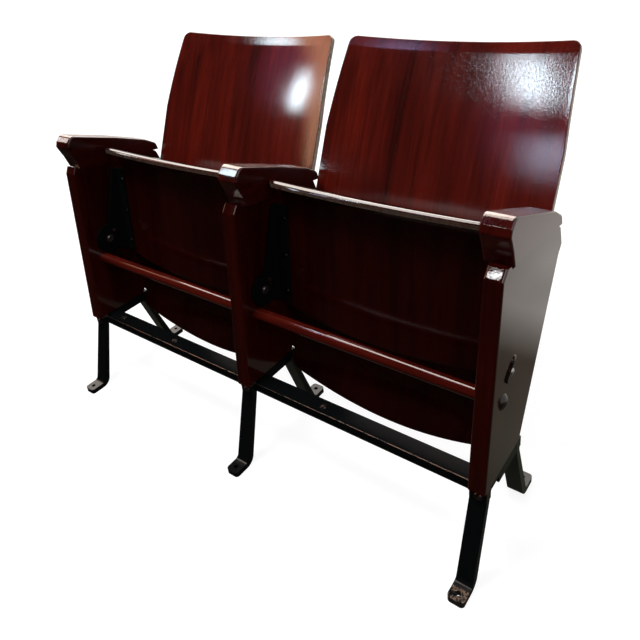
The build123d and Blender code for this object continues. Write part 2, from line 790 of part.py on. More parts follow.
# ----------------------------------------------------------------- steel base
def upright(x, y, z, radius, height, mode=Mode.ADD):
    """A round piece or hole along Z."""
    with BuildSketch(Plane.XY.offset(z)) as section:
        with Locations((x, y)):
            Circle(radius)
    extrude(section.sketch, amount=height, mode=mode)


rail_y = RAIL_FRONT + RAIL_W / 2
rivet_d = BAR_BOLT_D - 2
shoe_screw_ys = (-8, 38)
for name, x in SIDES.items():
    with BuildPart() as shoe:
        with BuildSketch(Plane.XY.offset(shoe_z)):
            with Locations((x, (RAIL_FRONT - LEG_T + SHOE_REAR) / 2)):
                Rectangle(LEG_W, SHOE_REAR - RAIL_FRONT + LEG_T)
        extrude(amount=SHOE_T)
        with BuildSketch(Plane.XY.offset(shoe_z)):
            side_front = RAIL_FRONT + RAIL_W + 1
            side_rear = SHOE_REAR - SHOE_SIDE_T - LEG_T - 1
            with Locations(
                (x + LEG_W / 2 - SHOE_SIDE_T / 2, (side_front + side_rear) / 2)
            ):
                Rectangle(SHOE_SIDE_T, side_rear - side_front)
        extrude(amount=-SHOE_SIDE_H)
        with BuildSketch(Plane.XY.offset(shoe_z)):
            with Locations((x, SHOE_REAR - SHOE_SIDE_T / 2)):
                Rectangle(LEG_W, SHOE_SIDE_T)
        extrude(amount=-LEG_TAB * 0.75)
        upright(x, rail_y, shoe_z, rivet_d / 2, SHOE_T, Mode.SUBTRACT)
        for y in shoe_screw_ys:
            upright(x, y, shoe_z, SCREW_D / 2, SHOE_T, Mode.SUBTRACT)
        with BuildSketch(Plane.XZ.offset(-SHOE_REAR)):
            with Locations((x, bolt_z)):
                Circle(LEG_BOLT_D / 2)
        extrude(amount=SHOE_SIDE_T, mode=Mode.SUBTRACT)
    write(shoe, "base_bracket_" + name)

with BuildPart() as front_rail:
    with BuildSketch(Plane.YZ.offset(-PITCH - RAIL_END)):
        with BuildLine():
            FilletPolyline(
                (RAIL_FRONT, shoe_z - RAIL_H),
                (RAIL_FRONT, shoe_z),
                (RAIL_FRONT + RAIL_W, shoe_z),
                (RAIL_FRONT + RAIL_W, shoe_z - RAIL_T),
                (RAIL_FRONT + RAIL_T, shoe_z - RAIL_T),
                (RAIL_FRONT + RAIL_T, shoe_z - RAIL_H),
                radius=[1, 1.5, 1, 1, 2, 1],
                close=True,
            )
        make_face()
    extrude(amount=2 * (PITCH + RAIL_END))
    for x in SIDES.values():
        upright(x, rail_y, shoe_z - RAIL_T, rivet_d / 2, RAIL_T, Mode.SUBTRACT)
        with BuildSketch(Plane.XZ.offset(-RAIL_FRONT - RAIL_T)):
            with Locations((x, bolt_z)):
                Circle(LEG_BOLT_D / 2)
        extrude(amount=RAIL_T, mode=Mode.SUBTRACT)
    for x in rail_bolt_xs:
        upright(x, rail_y, shoe_z - RAIL_T, rivet_d / 2, RAIL_T, Mode.SUBTRACT)
write(front_rail, "front_rail")


def make_leg(x, way):
    """A flat bar: an upright tab, a leaning shank and a turned-out foot."""
    tab_in = -RAIL_FRONT
    tab_out = tab_in + LEG_T
    if way == 1:
        tab_out = SHOE_REAR - SHOE_SIDE_T
        tab_in = tab_out - LEG_T
    tab_low = shoe_z - LEG_TAB
    shift = ANKLE_Y - (tab_in + tab_out) / 2
    wide = LEG_T * sqrt(1 + (shift / tab_low) ** 2) / 2
    with BuildPart() as leg:
        with BuildSketch(Plane.YZ.offset(x - LEG_W / 2)):
            with BuildLine():
                FilletPolyline(
                    (way * tab_in, shoe_z),
                    (way * tab_out, shoe_z),
                    (way * tab_out, tab_low),
                    (way * (ANKLE_Y + wide), LEG_T),
                    (way * TOE_Y, LEG_T),
                    (way * TOE_Y, 0),
                    (way * (ANKLE_Y - wide), 0),
                    (way * tab_in, tab_low),
                    radius=[0, 0, 12, 10, 0, 0, 24, 24],
                    close=True,
                )
            make_face()
        extrude(amount=LEG_W)
        toe = leg.edges().filter_by(Axis.Z).group_by(Axis.Y)
        fillet(toe[0 if way < 0 else -1], radius=7)
        upright(x, way * FOOT_BOLT_Y, 0, FOOT_HOLE_D / 2, LEG_T, Mode.SUBTRACT)
        with BuildSketch(Plane.XZ.offset(-way * tab_out)):
            with Locations((x, bolt_z)):
                Circle(LEG_BOLT_D / 2)
        extrude(amount=way * LEG_T, mode=Mode.SUBTRACT)
    return leg


for name, x in SIDES.items():
    write(make_leg(x, -1), "leg_front_" + name)
    write(make_leg(x, 1), "leg_rear_" + name)

with BuildPart() as leg_bolts:
    for x in SIDES.values():
        for outer, grip, way in (
            (RAIL_FRONT - LEG_T, LEG_T + RAIL_T, -1),
            (SHOE_REAR, LEG_T + SHOE_SIDE_T, 1),
        ):
            seat = Plane(origin=(x, outer, bolt_z), x_dir=(1, 0, 0), z_dir=(0, 0, way))
            dome_head(seat, LEG_BOLT_HEAD / 2, LEG_BOLT_HEAD_H)
            with BuildSketch(Plane.XZ.offset(-outer)):
                with Locations((x, bolt_z)):
                    Circle(LEG_BOLT_D / 2)
            extrude(amount=way * (grip + NUT_H + 2))
            with BuildSketch(Plane.XZ.offset(-outer + way * grip)):
                with Locations((x, bolt_z)):
                    RegularPolygon(NUT_D / 2, 6)
            extrude(amount=way * NUT_H)
write(leg_bolts, "leg_bolts")

with BuildPart() as rail_bolts:
    for x in rail_bolt_xs:
        seat = Plane(origin=(x, rail_y, shoe_z), x_dir=(1, 0, 0), z_dir=(0, -1, 0))
        dome_head(seat, LEG_BOLT_HEAD / 2, LEG_BOLT_HEAD_H)
        upright(x, rail_y, shoe_z, rivet_d / 2, -RAIL_T - NUT_H - 2)
        with BuildSketch(Plane.XY.offset(shoe_z - RAIL_T)):
            with Locations((x, rail_y)):
                RegularPolygon(NUT_D / 2, 6)
        extrude(amount=-NUT_H)
write(rail_bolts, "rail_bolts")

with BuildPart() as rail_rivets:
    for x in SIDES.values():
        upright(x, rail_y, BASE_Z, rivet_d / 2, -SHOE_T - RAIL_T)
        seat = Plane(
            origin=(x, rail_y, shoe_z - RAIL_T), x_dir=(1, 0, 0), z_dir=(0, 1, 0)
        )
        dome_head(seat, rivet_d, SCREW_HEAD_H)
write(rail_rivets, "rail_rivets")

with BuildPart() as base_screws:
    for x in SIDES.values():
        for y in shoe_screw_ys:
            upright(x, y, shoe_z, SCREW_D / 2, SHOE_T + SCREW_BITE * 2)
            upright(x, y, shoe_z, SCREW_HEAD_D / 2, -SCREW_HEAD_H)
write(base_screws, "base_screws")

for name, x in SIDES.items():
    write(make_standard(name, x), "standard_" + name)
    write(make_armrest(name, x), "armrest_" + name)
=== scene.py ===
"""Dresses the tip-up auditorium seats and sets their studio stage.

Lengths are in metres. X runs to the viewer's right, the seats face -Y and Z is
up. At rest both seats are folded up.
"""

import bmesh
import bpy
from collections import namedtuple
from math import atan, cos, pi, radians, sin, sqrt
from mathutils import Euler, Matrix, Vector
from mathutils.interpolate import poly_3d_calc


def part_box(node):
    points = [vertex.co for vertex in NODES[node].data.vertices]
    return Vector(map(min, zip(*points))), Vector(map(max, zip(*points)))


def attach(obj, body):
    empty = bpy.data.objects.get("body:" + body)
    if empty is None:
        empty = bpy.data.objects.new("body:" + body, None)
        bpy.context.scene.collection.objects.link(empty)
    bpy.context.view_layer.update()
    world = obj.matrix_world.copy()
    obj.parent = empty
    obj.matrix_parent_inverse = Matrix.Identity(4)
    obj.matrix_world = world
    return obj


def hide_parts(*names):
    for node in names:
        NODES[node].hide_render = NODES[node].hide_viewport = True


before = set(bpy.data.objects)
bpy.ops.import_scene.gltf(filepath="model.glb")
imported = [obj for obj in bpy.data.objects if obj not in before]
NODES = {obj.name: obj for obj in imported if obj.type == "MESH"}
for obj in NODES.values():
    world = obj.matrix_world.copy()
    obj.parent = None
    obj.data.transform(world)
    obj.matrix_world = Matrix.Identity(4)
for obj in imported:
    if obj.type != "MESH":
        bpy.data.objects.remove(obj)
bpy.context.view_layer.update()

bl_info = {
    "name": "Tip-up Auditorium Seats",
    "version": (1, 0, 0),
    "blender": (4, 5, 0),
    "location": "View3D > Sidebar > Seats",
    "description": "Dresses the seats and sets their stage",
    "category": "Object",
}

# The standards: where the two bays' middles are, how far the standards lean
# back, and the lower end of their front edge.
BAYS = {"left": -0.25, "right": 0.25}
LEAN = radians(7)
FRONT_Y = -0.077
BASE_Z = 0.183

# The backrests. Their foot line lies behind the standards' front edge, and
# along runs up the board from there.
BACK_BEHIND = 0.132
BACK_GAP = 0.0003
BACK_RUN = atan(0.332) + LEAN
BACK_DISH_RADIUS = 0.800
BACK_HALF = 0.241
BACK_TOP_HALF = 0.227
BACK_FOOT_HALF = 0.231
BACK_STRAIGHT = 0.500
BACK_ARC_RADIUS = 1.500
BACK_ARC = radians(7.2)
BACK_CORNER = 0.015
# The arched lower edge: how far it hangs at the middle and at the sides, and
# the height over which the arch fades.
BACK_DROP = 0.060
BACK_SIDE_DROP = 0.013
BACK_ARCH_REACH = 0.10
# Where the board widens above the standards.
BACK_FLARE_START = 0.006
BACK_FLARE_END = 0.012
# The crease below the upper edge.
CREASE_BAND = 0.022
CREASE_DEPTH = 0.0011

# The seat boards. Under is how far the folded board's lower face lies behind
# the standards' front edge, low and crest are the ends of its rise.
SEAT_HALF = 0.217
SEAT_DISH = 0.010
SEAT_UNDER = 0.111
SEAT_LOW = 0.128
SEAT_SIDE_LOW = 0.148
SEAT_CREST = 0.413
SEAT_CORNER = 0.009
SEAT_ARCH_REACH = 0.06
# The rolled front edge: its inner radius, its straight end, and the rounding
# of that end.
SEAT_ROLL = 0.028
SEAT_LIP = 0.006
SEAT_NOSE_BAND = 0.010
SEAT_NOSE_CUT = 0.0085

# How far a corner's bevel starts from the corner, per radius.
CORNER_REACH = 0.9945
# The plies show from this share of the arris up to this far below the far face.
EDGE_SHARE = 0.45
EDGE_GAP = 1e-5
MERGE = 1e-6

# The wood's patterns: run along the grain (the smaller, the longer), scale,
# detail, roughness and distortion. Pores and streaks are finer than figure.
BROAD = (0.22, 9, 3, 0.5, 0.25)
FIGURE = (0.05, 60, 4, 0.6, 0.3)
STREAK = (0.03, 240, 3, 0.65)
PORES = (0.07, 900, 2, 0.55)
# The unevenness of sprayed varnish and paint.
PEEL_SCALE = 330

# Roughness of the varnish: clear, between clear places, specks and scuffs.
VARNISH_LEAST = 0.03
VARNISH_MOST = 0.055
SPECK_ROUGH = 0.11
SCUFF_ROUGH = 0.30

# Heights between which the painted shade of the backrests fades out.
PAINTED_SHADE_LOW = 0.30
PAINTED_SHADE_HIGH = 0.48
PLY_COUNT = 2.5

# Where paint is worn: the feet's toes from bar to end and from top to bottom.
# The rail's upper front corner is bared as a painted highlight line.
TOE_START = 0.112
TOE_END = 0.130
TOE_TOP = 0.030
TOE_BOTTOM = 0.0105
RAIL_HIGHLIGHT_FRONT = (-0.0535, -0.0545)
RAIL_HIGHLIGHT_TOP = (0.1768, 0.1776)

WHITE = (1, 1, 1, 1)
RUST = (0.12, 0.06, 0.03, 1)
# Pale colour of the armrests' upper faces: scuff wear and a painted sheen.
SCUFF_AND_SHEEN_WOOD = (0.62, 0.44, 0.37, 1)
STAINED_PLY = (0.11, 0.035, 0.02, 1)
BROWN_ENAMEL = (0.016, 0.010, 0.008, 1)
TURNED_STEEL = (0.42, 0.41, 0.40, 1)
BRONZE = (0.55, 0.36, 0.14, 1)
BLACKENED = (0.03, 0.027, 0.025, 1)

# What gloss mirrors: a dark room ahead of the seats and a floor that turns pale
# towards the back.
DARK_ROOM = (0.022, 0.012, 0.009, 1)
MIRRORED_FLOOR = (
    (0.0, (0.012, 0.010, 0.008, 1)),
    (0.22, (0.02, 0.018, 0.014, 1)),
    (0.45, (0.13, 0.13, 0.10, 1)),
    (0.66, (0.16, 0.14, 0.11, 1)),
    (0.80, (0.90, 0.84, 0.78, 1)),
)
FLOOR_HALF = 30
# Distances from the middle between which the floor turns fully white.
FLOOR_FADE_START = 0.8
FLOOR_FADE_END = 2.2

# Far walls and haze of the studio that the varnish mirrors: direction, half
# width, half height, colour and softness of the outline.
Window = namedtuple("Window", "at wide tall colour soft")
WINDOWS = (
    Window((-0.935, -0.205, 0.33), 0.125, 0.40, (4.4, 2.2, 1.3, 1), 0.06),
    Window((-0.450, 0.600, 0.660), 0.60, 0.32, (8.0, 7.2, 6.6, 1), 0.35),
    Window((-0.500, 0.120, 0.860), 0.24, 0.32, (13.0, 11.6, 10.6, 1), 0.35),
    Window((-0.420, 0.880, 0.200), 0.32, 0.20, (3.4, 3.0, 2.7, 1), 0.35),
)

# Spots and hazes of light that the photo shows on the varnish: the piece that
# mirrors them, their middle and half size in the photo's pixels, the sideways
# lean of their upright and the light's distance from the piece. Then the size of
# the pane of light across and up, against one that just fills the spot, its
# colour, the softness of its outline, and whether only what lies behind it
# mirrors it.
Spot = namedtuple(
    "Spot", "piece at half lean away grow colour soft behind", defaults=(True,)
)
SPOTS = (
    Spot(
        "backrest_panel_right",
        at=(531, 80),
        half=(11, 24),
        lean=-0.12,
        away=1.1,
        grow=(1.06, 1.13),
        colour=(46, 56, 62),
        soft=0.80,
    ),
    Spot(
        "backrest_panel_right",
        at=(550, 155),
        half=(8, 19),
        lean=0.15,
        away=1.0,
        grow=(1.45, 1.03),
        colour=(40, 46, 62),
        soft=0.80,
    ),
    Spot(
        "backrest_panel_left",
        at=(299, 88),
        half=(6.3, 21.8),
        lean=0.2,
        away=1.4,
        grow=(1, 1),
        colour=(34, 41, 45),
        soft=0.75,
    ),
    Spot(
        "backrest_panel_left",
        at=(279, 41.5),
        half=(19, 2.5),
        lean=0.05,
        away=1.2,
        grow=(1, 2.1),
        colour=(18, 21, 23),
        soft=0.60,
    ),
    Spot(
        "backrest_panel_left",
        at=(285, 75),
        half=(30, 35),
        lean=0.1,
        away=1.35,
        grow=(0.80, 0.82),
        colour=(0.7, 0.2, 0.5),
        soft=0.90,
    ),
    Spot(
        "backrest_panel_right",
        at=(520, 118),
        half=(34, 46),
        lean=0.1,
        away=1.3,
        grow=(0.81, 0.90),
        colour=(0.9, 0.22, 0.6),
        soft=0.90,
    ),
    Spot(
        "backrest_panel_right",
        at=(400, 46),
        half=(26, 3.5),
        lean=0.05,
        away=1.5,
        grow=(1, 0.90),
        colour=(3.2, 2.6, 5),
        soft=0.80,
    ),
    Spot(
        "standard_right",
        at=(495, 275.5),
        half=(7, 3),
        lean=0.35,
        away=0.2,
        grow=(1.2, 1),
        colour=(44, 44, 44),
        soft=0.90,
        behind=False,
    ),
)
# The gleam of the middle armrest's nose comes from a pane close by: how far it
# is ahead of and above the nose and left of the middle, and its half size.
NOSE_AWAY = 0.023
NOSE_LEFT = 0.039
NOSE_WIDE = 0.036
NOSE_TALL = 0.027
NOSE_COLOUR = (16, 19, 21)
NOSE_SOFT = 0.30
# Half size of a pane's sheet per half width: room for the soft outline.
PANE_MARGIN = 1.4

# Lamps: name, place, aim, width, height, watts and whether gloss mirrors them.
Lamp = namedtuple("Lamp", "name place aim wide tall watts mirrored")
LAMPS = (
    Lamp("Key window", (-0.45, -0.55, 2.75), (0, 0.15, 0.45), 1.0, 0.8, 46, False),
    Lamp("Side window", (2.4, -0.9, 1.8), (0.3, 0.1, 0.4), 1.4, 1.4, 14, True),
    Lamp("Back glow", (-0.8, 1.9, 2.4), (0, 0.1, 0.5), 1.6, 1.0, 24, True),
)

# The camera fitted to the photo, with its turns about X, Y and Z in degrees.
CAMERA_PLACE = (0.783, -0.7165, 1.004)
CAMERA_TURN = (62.454, 5.992, 36.866)
CAMERA_LENS = 35.19
CAMERA_SENSOR = 36
CAMERA_SHIFT = -0.125
PHOTO_SIZE = 640


# ------------------------------------------------------------------ settings
def colour_setting(name, description, default):
    """A colour with its alpha."""
    return bpy.props.FloatVectorProperty(
        name=name, description=description, subtype="COLOR", size=4, default=default
    )


def length_setting(name, description, default):
    """A length in metres."""
    return bpy.props.FloatProperty(
        name=name, description=description, default=default, unit="LENGTH"
    )


def share_setting(name, description, default):
    """A number from 0 up."""
    return bpy.props.FloatProperty(
        name=name, description=description, default=default, min=0
    )


class FinishSettings(bpy.types.PropertyGroup):
    grain_dark: colour_setting(
        "Grain dark", "Darkest colour of the stained wood", (0.030, 0.0035, 0.0025, 1)
    )
    grain_mid: colour_setting(
        "Grain middle", "Main colour of the stained wood", (0.112, 0.0075, 0.0040, 1)
    )
    grain_light: colour_setting(
        "Grain light", "Light streaks of the stained wood", (0.180, 0.017, 0.007, 1)
    )
    ply_edge: colour_setting(
        "Ply edge", "Colour of the varnished plywood edges", (0.50, 0.41, 0.31, 1)
    )
    enamel: colour_setting(
        "Enamel", "Colour of the painted steel", (0.0035, 0.0042, 0.0045, 1)
    )
    worn_steel: colour_setting(
        "Worn steel",
        "Bare metal where the paint has worn away",
        (0.19, 0.172, 0.156, 1),
    )


class BoardSettings(bpy.types.PropertyGroup):
    thickness: length_setting(
        "Ply thickness", "Thickness of the moulded boards", 0.012
    )
    arris: length_setting("Arris", "Rounding of the boards' edges", 0.0018)
    step: length_setting(
        "Slice", "Distance between the cuts that let a blank bend", 0.016
    )


class StageSettings(bpy.types.PropertyGroup):
    floor_colour: colour_setting(
        "Floor", "Colour of the pale floor", (0.26, 0.26, 0.26, 1)
    )
    fill: share_setting("Fill", "Strength of the soft light from all round", 0.22)
    whiten: share_setting(
        "Whiten", "How far the camera sees the floor lifted towards white", 0.87
    )


# ------------------------------------------------------------- node helpers
class Tree:
    """Short ways to add and join the nodes of one tree."""

    def __init__(self, owner):
        self.owner = owner
        self.nodes = owner.nodes
        self.links = owner.links

    def add(self, kind, **values):
        """A new node with the given properties."""
        node = self.nodes.new(kind)
        for key, value in values.items():
            setattr(node, key, value)
        return node

    def join(self, output, target):
        """Link an output to an input."""
        self.links.new(output, target)

    def feed(self, value, socket):
        """Link an output to an input, or give the input a plain value."""
        if isinstance(value, bpy.types.NodeSocket):
            self.join(value, socket)
        else:
            socket.default_value = value

    def math(self, operation, *values, clamp=False):
        """One operation on outputs or plain numbers."""
        node = self.add("ShaderNodeMath", operation=operation, use_clamp=clamp)
        for socket, value in zip(node.inputs, values):
            self.feed(value, socket)
        return node.outputs[0]

    def mix(self, factor, first, second, blend="MIX"):
        """Two colours blended by a factor."""
        node = self.add("ShaderNodeMix", data_type="RGBA", blend_type=blend)
        self.feed(factor, node.inputs["Factor"])
        self.feed(first, node.inputs["A"])
        self.feed(second, node.inputs["B"])
        return node.outputs["Result"]

    def noise(self, vector, scale, detail, roughness, distortion=0.0):
        """A noise pattern from 0 to 1, with its scale in features per metre."""
        node = self.add("ShaderNodeTexNoise")
        self.join(vector, node.inputs["Vector"])
        node.inputs["Scale"].default_value = scale
        node.inputs["Detail"].default_value = detail
        node.inputs["Roughness"].default_value = roughness
        node.inputs["Distortion"].default_value = distortion
        return node.outputs["Fac"]

    def stretch(self, vector, scale=(1, 1, 1), turn=(0, 0, 0)):
        """A vector scaled and turned."""
        node = self.add("ShaderNodeMapping")
        self.join(vector, node.inputs["Vector"])
        node.inputs["Scale"].default_value = scale
        node.inputs["Rotation"].default_value = turn
        return node.outputs["Vector"]

    def split(self, vector):
        """The X, Y and Z outputs of a vector."""
        node = self.add("ShaderNodeSeparateXYZ")
        self.join(vector, node.inputs[0])
        return node.outputs

    def dot(self, vector, axis):
        """How far a vector reaches along an axis."""
        node = self.add("ShaderNodeVectorMath", operation="DOT_PRODUCT")
        self.join(vector, node.inputs[0])
        node.inputs[1].default_value = axis
        return node.outputs["Value"]

    def ramp(self, factor, stops):
        """Colours strung along a factor."""
        node = self.add("ShaderNodeValToRGB")
        self.feed(factor, node.inputs["Fac"])
        band = node.color_ramp
        while len(band.elements) < len(stops):
            band.elements.new(0.5)
        for element, (place, colour) in zip(band.elements, stops):
            element.position = place
            element.color = colour
        return node.outputs["Color"]

    def remap(self, value, low, high, start=0.0, end=1.0):
        """A value's range from low to high, brought to start to end and clamped."""
        node = self.add("ShaderNodeMapRange", clamp=True)
        self.feed(value, node.inputs["Value"])
        node.inputs["From Min"].default_value = low
        node.inputs["From Max"].default_value = high
        node.inputs["To Min"].default_value = start
        node.inputs["To Max"].default_value = end
        return node.outputs["Result"]

    def attribute(self, name, output):
        """A mesh attribute."""
        return self.add("ShaderNodeAttribute", attribute_name=name).outputs[output]

    def geometry(self, output):
        """One output of the surface's geometry."""
        return self.add("ShaderNodeNewGeometry").outputs[output]

    def glow(self, colour, strength):
        """A shader that gives off light."""
        node = self.add("ShaderNodeEmission")
        self.feed(colour, node.inputs["Color"])
        self.feed(strength, node.inputs["Strength"])
        return node.outputs[0]

    def surface(self, factor, first, second):
        """Show the first shader, and the second where the factor is 1."""
        node = self.add("ShaderNodeMixShader")
        for socket, value in zip(node.inputs, (factor, first, second)):
            self.join(value, socket)
        self.join(node.outputs[0], self.nodes["Material Output"].inputs["Surface"])

    def mirror_rays(self):
        """1 for the rays by which gloss mirrors its surroundings."""
        path = self.add("ShaderNodeLightPath").outputs
        glossy, through = path["Is Glossy Ray"], path["Is Transmission Ray"]
        return self.math("MAXIMUM", glossy, through, clamp=True)

    def camera_rays(self):
        """1 for the rays that come straight from the camera."""
        return self.add("ShaderNodeLightPath").outputs["Is Camera Ray"]


def scaled(colour, share):
    """A colour made darker or lighter, with its alpha left at 1."""
    return tuple(channel * share for channel in colour[:3]) + (1,)


def new_group(name, inputs, outputs):
    """An empty shader node group with its sockets."""
    group = bpy.data.node_groups.new(name, "ShaderNodeTree")
    for label, kind, value in inputs:
        socket = group.interface.new_socket(label, in_out="INPUT", socket_type=kind)
        if value is not None:
            socket.default_value = value
    for label, kind in outputs:
        group.interface.new_socket(label, in_out="OUTPUT", socket_type=kind)
    tree = Tree(group)
    tree.source = tree.add("NodeGroupInput").outputs
    tree.sink = tree.add("NodeGroupOutput").inputs
    return tree


def build_grain_group():
    """Stained figured wood: broad figure, fine streaks and open pores."""
    tree = new_group(
        "Stained Grain",
        [
            ("Vector", "NodeSocketVector", None),
            ("Dark", "NodeSocketColor", None),
            ("Middle", "NodeSocketColor", None),
            ("Light", "NodeSocketColor", None),
            ("Streak", "NodeSocketFloat", 0.5),
            ("Pore", "NodeSocketFloat", 0.5),
        ],
        [
            ("Color", "NodeSocketColor"),
            ("Height", "NodeSocketFloat"),
            ("Gloss", "NodeSocketFloat"),
        ],
    )
    given = tree.source

    def drawn_out(run, *pattern):
        """Noise drawn out along the grain."""
        return tree.noise(tree.stretch(given["Vector"], (1, 1, run)), *pattern)

    broad = drawn_out(*BROAD)
    figure = drawn_out(*FIGURE)
    streak = drawn_out(*STREAK)
    pores = drawn_out(*PORES)
    peel = tree.noise(given["Vector"], PEEL_SCALE, 2, 0.6)

    shade = tree.math("MULTIPLY_ADD", figure, 0.45, tree.math("MULTIPLY", broad, 0.55))
    base = tree.mix(tree.remap(shade, 0.34, 0.60), given["Dark"], given["Middle"])
    bright = tree.math("MULTIPLY", tree.remap(streak, 0.46, 0.74), given["Streak"])
    bright = tree.math("MULTIPLY", bright, tree.remap(broad, 0.38, 0.62), clamp=True)
    colour = tree.mix(bright, base, given["Light"])
    pore = tree.remap(pores, 0.58, 0.72)
    pore = tree.math("MULTIPLY", pore, given["Pore"], clamp=True)
    colour = tree.mix(pore, colour, given["Dark"])
    height = tree.math("MULTIPLY_ADD", streak, 0.06, tree.math("MULTIPLY", peel, 0.9))

    tree.join(colour, tree.sink["Color"])
    tree.join(height, tree.sink["Height"])
    tree.join(tree.remap(broad, 0.3, 0.7), tree.sink["Gloss"])
    return tree.owner


def build_wear_group():
    """Paint wear: patches of bare metal that grow with the given exposure."""
    tree = new_group(
        "Worn Paint",
        [
            ("Vector", "NodeSocketVector", None),
            ("Exposure", "NodeSocketFloat", 0.0),
            ("Paint", "NodeSocketColor", None),
            ("Metal", "NodeSocketColor", None),
        ],
        [
            ("Color", "NodeSocketColor"),
            ("Mask", "NodeSocketFloat"),
            ("Roughness", "NodeSocketFloat"),
            ("Height", "NodeSocketFloat"),
        ],
    )
    given = tree.source
    coarse = tree.noise(given["Vector"], 95, 5, 0.7)
    fine = tree.noise(given["Vector"], 620, 3, 0.6)
    peel = tree.noise(given["Vector"], PEEL_SCALE, 2, 0.5)

    mixed = tree.math("MULTIPLY_ADD", fine, 0.35, tree.math("MULTIPLY", coarse, 0.65))
    level = tree.math("SUBTRACT", 0.98, tree.math("MULTIPLY", given["Exposure"], 0.6))
    mask = tree.remap(tree.math("SUBTRACT", mixed, level), 0.0, 0.06)
    rust = tree.mix(tree.remap(coarse, 0.4, 0.65), given["Metal"], RUST)
    rough = tree.remap(coarse, 0.3, 0.7, 0.13, 0.27)
    rough = tree.math("MULTIPLY_ADD", mask, 0.22, rough)
    height = tree.math("SUBTRACT", tree.math("MULTIPLY", peel, 0.4), mask)

    tree.join(tree.mix(mask, given["Paint"], rust), tree.sink["Color"])
    tree.join(mask, tree.sink["Mask"])
    tree.join(rough, tree.sink["Roughness"])
    tree.join(height, tree.sink["Height"])
    return tree.owner


# ----------------------------------------------------------------- materials
def finish(name):
    """A new material with its tree, its surface shader and object coordinates."""
    material = bpy.data.materials.new(name)
    material.use_nodes = True
    tree = Tree(material.node_tree)
    shader = tree.nodes["Principled BSDF"].inputs
    place = tree.add("ShaderNodeTexCoord").outputs["Object"]
    return material, tree, shader, place


def add_bump(tree, shader, height, strength, distance):
    """Bump on a surface shader."""
    node = tree.add("ShaderNodeBump")
    node.inputs["Strength"].default_value = strength
    node.inputs["Distance"].default_value = distance
    tree.join(height, node.inputs["Height"])
    tree.join(node.outputs["Normal"], shader["Normal"])


def add_group(tree, name, **values):
    """The outputs of one of the shared node groups."""
    node = tree.add("ShaderNodeGroup")
    node.node_tree = bpy.data.node_groups[name]
    for label, value in values.items():
        tree.feed(value, node.inputs[label])
    return node.outputs


def add_wood(name, turn, tint, streak=0.6, peel=0.00018):
    """Stained and varnished wood whose grain runs along the turned local Z.

    Returns the material with its tree, shader, coordinates, colour and
    roughness, so that more can be laid over it.
    """
    colours = bpy.context.scene.seat_finish
    material, tree, shader, place = finish(name)
    grain = add_group(
        tree,
        "Stained Grain",
        Vector=tree.stretch(place, turn=turn),
        Dark=scaled(colours.grain_dark, tint),
        Middle=scaled(colours.grain_mid, tint),
        Light=scaled(colours.grain_light, tint),
        Streak=streak,
        Pore=0.25,
    )
    tree.join(grain["Color"], shader["Base Color"])
    speck = tree.noise(place, PEEL_SCALE, 2, 0.7)
    speck = tree.remap(speck, 0.49, 0.56, 0, SPECK_ROUGH)
    rough = tree.remap(grain["Gloss"], 0, 1, VARNISH_LEAST, VARNISH_MOST)
    rough = tree.math("ADD", rough, speck)
    tree.join(rough, shader["Roughness"])
    add_bump(tree, shader, grain["Height"], 0.40, peel)
    return material, tree, shader, place, grain["Color"], rough


def wood_finish(name, turn, tint, streak=0.6):
    """Varnished wood that is whole all over."""
    return add_wood(name, turn, tint, streak)[0]


def armrest_finish(name, turn, tint, streak):
    """Varnished wood with its upper faces scuffed dull, and painted pale there as a
    sheen.
    """
    material, tree, shader, place, colour, rough = add_wood(
        name, turn, tint, streak, peel=0.0006
    )
    up = tree.remap(tree.split(tree.geometry("Normal"))["Z"], 0.90, 0.98)
    dull = tree.math("MAXIMUM", rough, tree.math("MULTIPLY", up, SCUFF_ROUGH))
    # The upper faces are painted pale: partly scuff wear, partly a painted sheen.
    scuff_and_sheen = tree.remap(tree.noise(place, 35, 4, 0.6), 0.35, 0.65, 0.25, 0.85)
    scuff_and_sheen = tree.math("MULTIPLY", scuff_and_sheen, up, clamp=True)
    tree.join(tree.mix(scuff_and_sheen, colour, SCUFF_AND_SHEEN_WOOD), shader["Base Color"])
    tree.join(dull, shader["Roughness"])
    return material


def ply_finish(name, turn, tint, bare=1.0, painted_shade=1.0):
    """Wood finish of a board, with its plies showing on the bare edge faces.

    Painted shade is the share of the colour that is left near the floor, where the
    seats shade the boards.
    """
    material, tree, shader, place, stained, _ = add_wood(name, turn, tint, peel=0.0003)
    colours = bpy.context.scene.seat_finish
    plies = tree.math("MULTIPLY", tree.attribute("depth", "Fac"), 2 * pi * PLY_COUNT)
    plies = tree.remap(tree.math("SINE", plies), -0.4, 0.4)
    smear = tree.noise(place, 140, 4, 0.6)
    pale = tree.mix(plies, colours.ply_edge, scaled(colours.ply_edge, 0.45))
    pale = tree.mix(tree.remap(smear, 0.45, 0.75), pale, STAINED_PLY)
    shown = tree.math("MULTIPLY", tree.attribute("edge", "Fac"), bare)
    colour = tree.mix(shown, stained, pale)
    # Painted shade: the colour darkens towards the floor, under the seats.
    cloud = tree.math("MULTIPLY_ADD", smear, 0.10, tree.split(place)["Z"])
    shade_share = tree.remap(cloud, PAINTED_SHADE_LOW, PAINTED_SHADE_HIGH, painted_shade, 1.0)
    tree.join(tree.mix(1.0, colour, shade_share, "MULTIPLY"), shader["Base Color"])
    return material


